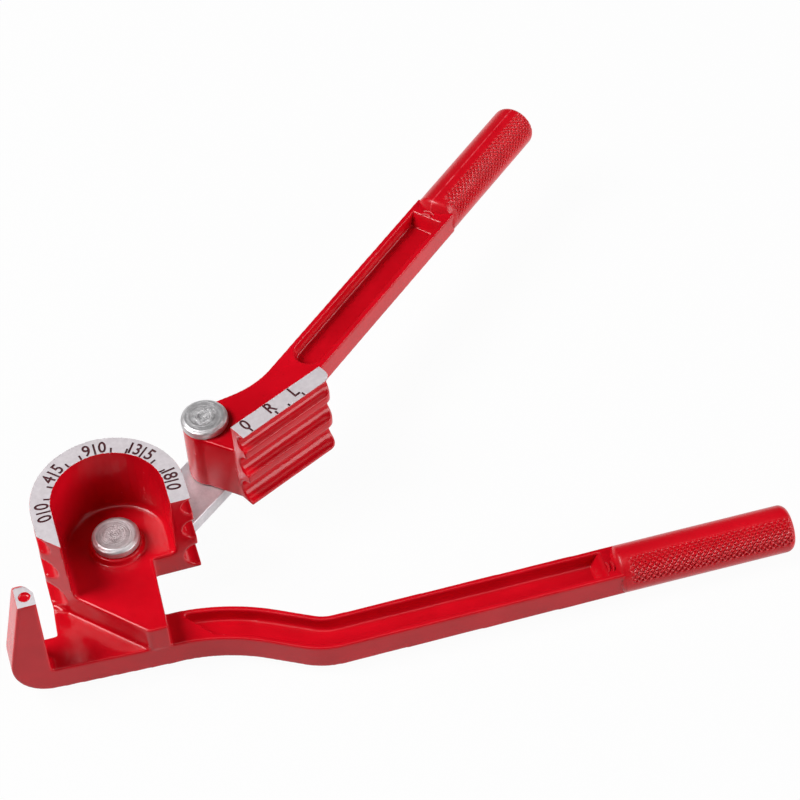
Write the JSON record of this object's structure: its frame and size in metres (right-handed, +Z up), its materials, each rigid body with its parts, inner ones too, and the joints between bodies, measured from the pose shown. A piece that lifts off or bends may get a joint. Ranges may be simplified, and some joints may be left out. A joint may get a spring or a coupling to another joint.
{
  "type": "lever tube bender",
  "caption": "Hand lever tube bender: grooved die cast with its fixed handle and hook, grooved shoe cast with the moving handle, joined by a riveted steel link.",
  "frame": {"origin": "on the die axis, at the level of the fixed handle's flat underside", "axes": "+X along the fixed handle towards its grip, +Z up along the die axis, +Y away from the fixed handle"},
  "size_m": [0.2484, 0.1964, 0.0457],
  "materials": {
    "red_paint": "glossy red enamel on a die casting, ground bare on the scale rim, the hook top and the index strip",
    "zinc_link": "zinc-plated rolled plate",
    "rivet_steel": "plated, cold-headed",
    "washer_steel": "zinc-plated"
  },
  "bodies": {
    "fixed": {"fixed_handle": "red_paint"},
    "link": {"link_plate": "zinc_link", "die_rivet": "rivet_steel", "shoe_rivet": "rivet_steel", "die_washer": "washer_steel", "shoe_washer": "washer_steel"},
    "moving": {"moving_handle": "red_paint"}
  },
  "joints": [
    {"name": "link_swing", "type": "hinge", "parent": "fixed", "child": "link", "pos_m": [0, 0, 0], "axis": [0, 0, 1], "range_deg": [-35, 145]},
    {"name": "handle_swing", "type": "hinge", "parent": "link", "child": "moving", "pos_m": [0.03685, 0.02984, 0], "axis": [0, 0, 1], "range_deg": [-81.2, 95]}
  ]
}
